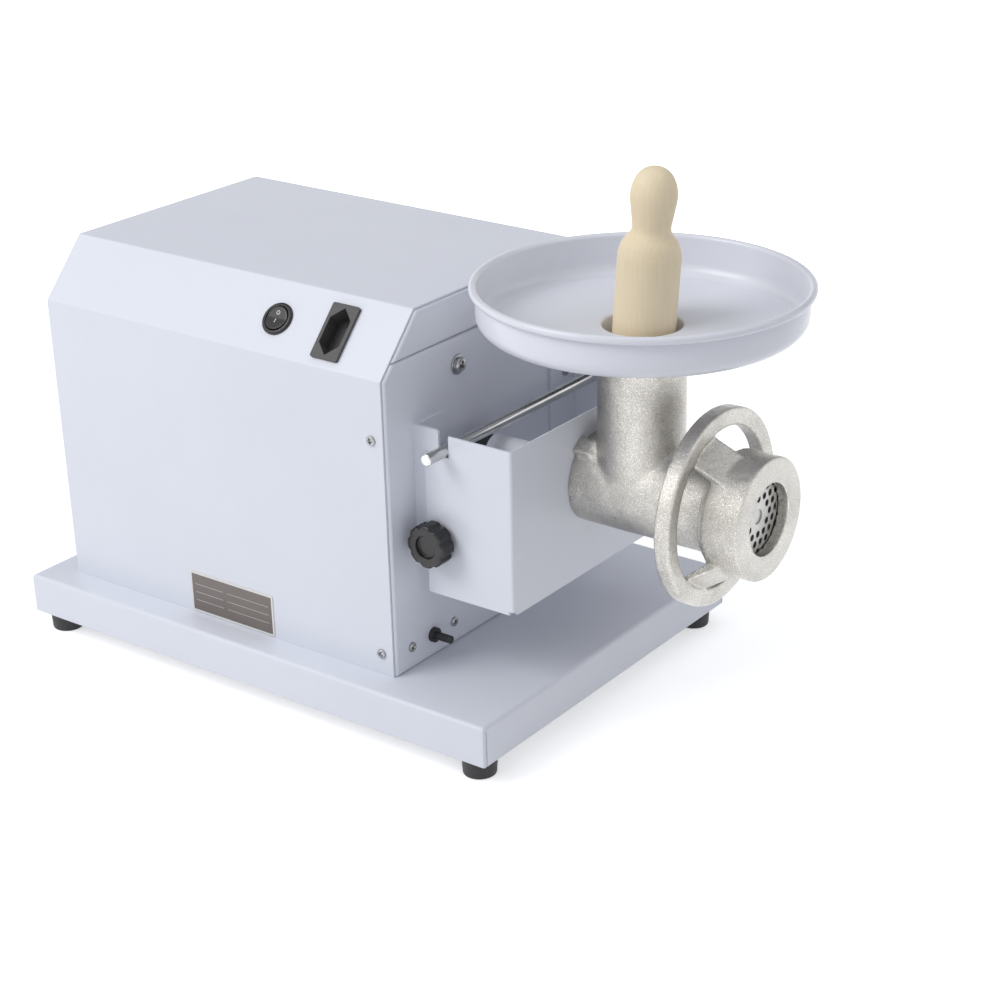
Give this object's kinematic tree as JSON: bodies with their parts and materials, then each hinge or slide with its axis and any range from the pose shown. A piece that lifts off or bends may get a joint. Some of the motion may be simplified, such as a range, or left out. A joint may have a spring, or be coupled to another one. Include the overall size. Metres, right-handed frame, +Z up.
{
  "type": "electric meat grinder",
  "caption": "White sheet-metal electric meat grinder: footed motor housing, clamped drive box, cast grinder head with ring nut, round feed pan and wooden pusher.",
  "frame": {"origin": "on the table, under the middle of the whole object's bounding box", "axes": "+X from the housing towards the grinder head's nose, +Z up, -Y towards the switch side"},
  "size_m": [0.554, 0.296, 0.3828],
  "materials": {
    "white_enamel": "smooth white oven enamel, semi-gloss",
    "black_rubber": "matt black rubber",
    "zinc_steel": "bright zinc plate",
    "machined_steel": "turned and ground steel",
    "gloss_black": "moulded black plastic, glossy",
    "matte_black": "moulded black plastic, matt",
    "brass": "brass and copper",
    "nameplate_grey": "plain printed plate, grey with a white border",
    "white_nylon": "natural nylon",
    "cast_aluminium": "cast aluminium",
    "tinned_iron": "cast iron, hot-tinned, rough",
    "pale_wood": "turned pale hardwood, unvarnished"
  },
  "bodies": {
    "machine": {"base_tray": "white_enamel", "cover_sheet": "white_enamel", "end_panel_drive": "white_enamel", "end_cap_drive": "white_enamel", "end_panel_fan": "white_enamel", "end_cap_fan": "white_enamel", "holder_near": "white_enamel", "holder_far": "white_enamel", "drive_box": "white_enamel", "bearing_frame": "white_enamel", "motor_shell": "white_enamel", "motor_bell_front": "white_enamel", "motor_bell_rear": "white_enamel", "fan_cover": "white_enamel", "rubber_feet": "black_rubber", "drive_belt": "black_rubber", "foot_screws": "zinc_steel", "small_screws": "zinc_steel", "frame_screws": "zinc_steel", "head_bolts": "zinc_steel", "motor_base_bolts": "zinc_steel", "weld_nut": "zinc_steel", "hang_rod": "zinc_steel", "counter_bearings": "machined_steel", "output_bearings": "machined_steel", "stator_core": "machined_steel", "switch_bezel": "gloss_black", "outlet_body": "gloss_black", "plunger_bush": "matte_black", "plunger_switch": "matte_black", "cable_gland": "matte_black", "terminal_block": "matte_black", "outlet_contacts": "brass", "rear_bush": "brass", "stator_windings": "brass", "nameplate": "nameplate_grey", "bearing_housing": "cast_aluminium", "motor_base": "cast_aluminium", "capacitor": "cast_aluminium", "head_casting": "tinned_iron"},
    "motor_rotor": {"rotor_core": "machined_steel", "motor_shaft": "machined_steel", "motor_fan": "matte_black", "motor_pulley": "cast_aluminium"},
    "countershaft_train": {"countershaft": "machined_steel", "counter_pulley": "cast_aluminium", "shaft_collar": "matte_black", "pinion": "white_nylon"},
    "auger_train": {"output_gear": "white_nylon", "output_shaft": "machined_steel", "auger": "machined_steel", "knife": "machined_steel"},
    "cutter_plate": {"perforated_plate": "machined_steel"},
    "ring_nut": {"ring_nut": "tinned_iron"},
    "feed_pan": {"feed_pan": "white_enamel"},
    "pusher": {"pusher": "pale_wood"},
    "switch_rocker": {"switch_rocker": "gloss_black"},
    "safety_plunger": {"safety_plunger": "matte_black"},
    "clamp_knob": {"clamp_knob": "gloss_black", "knob_stud": "zinc_steel"}
  },
  "joints": [
    {"name": "motor_spin", "type": "hinge", "parent": "machine", "child": "motor_rotor", "pos_m": [-0.10205, 0.045, 0.128], "axis": [1, 0, 0], "continuous": true},
    {"name": "countershaft_spin", "type": "hinge", "parent": "machine", "child": "countershaft_train", "pos_m": [0.00795, -0.0359, 0.18242], "axis": [1, 0, 0], "continuous": true},
    {"name": "auger_spin", "type": "hinge", "parent": "machine", "child": "auger_train", "pos_m": [0.12945, -0.00575, 0.169], "axis": [1, 0, 0], "continuous": true},
    {"name": "plate_release", "type": "slide", "parent": "machine", "child": "cutter_plate", "axis": [1, 0, 0], "range_m": [0, 0.012]},
    {"name": "ring_nut_turn", "type": "hinge", "parent": "cutter_plate", "child": "ring_nut", "pos_m": [0.23695, -0.00575, 0.169], "axis": [1, 0, 0], "range_deg": [0, 1440]},
    {"name": "pan_lift", "type": "slide", "parent": "machine", "child": "feed_pan", "axis": [0, 0, 1], "range_m": [0, 0.06]},
    {"name": "pusher_slide", "type": "slide", "parent": "feed_pan", "child": "pusher", "axis": [0.0529, 0.037, 0.9979], "range_m": [0, 0.13]},
    {"name": "rocker_tilt", "type": "hinge", "parent": "machine", "child": "switch_rocker", "pos_m": [-0.05105, -0.10689, 0.27148], "axis": [1, 0, 0], "range_deg": [-8, 8]},
    {"name": "plunger_press", "type": "slide", "parent": "machine", "child": "safety_plunger", "axis": [-1, 0, 0], "range_m": [0, 0.004], "stiffness_N_per_m": 300, "springref_m": -0.004},
    {"name": "knob_turn", "type": "hinge", "parent": "machine", "child": "clamp_knob", "pos_m": [0.06995, -0.1065, 0.141], "axis": [0, -1, 0], "range_deg": [0, 1800]}
  ],
  "couplings": [
    {"joint": "countershaft_spin", "follows": "motor_spin", "ratio": 0.3},
    {"joint": "auger_spin", "follows": "motor_spin", "ratio": -0.14},
    {"joint": "plate_release", "follows": "ring_nut_turn", "m_per_rad": 0.00047746}
  ]
}
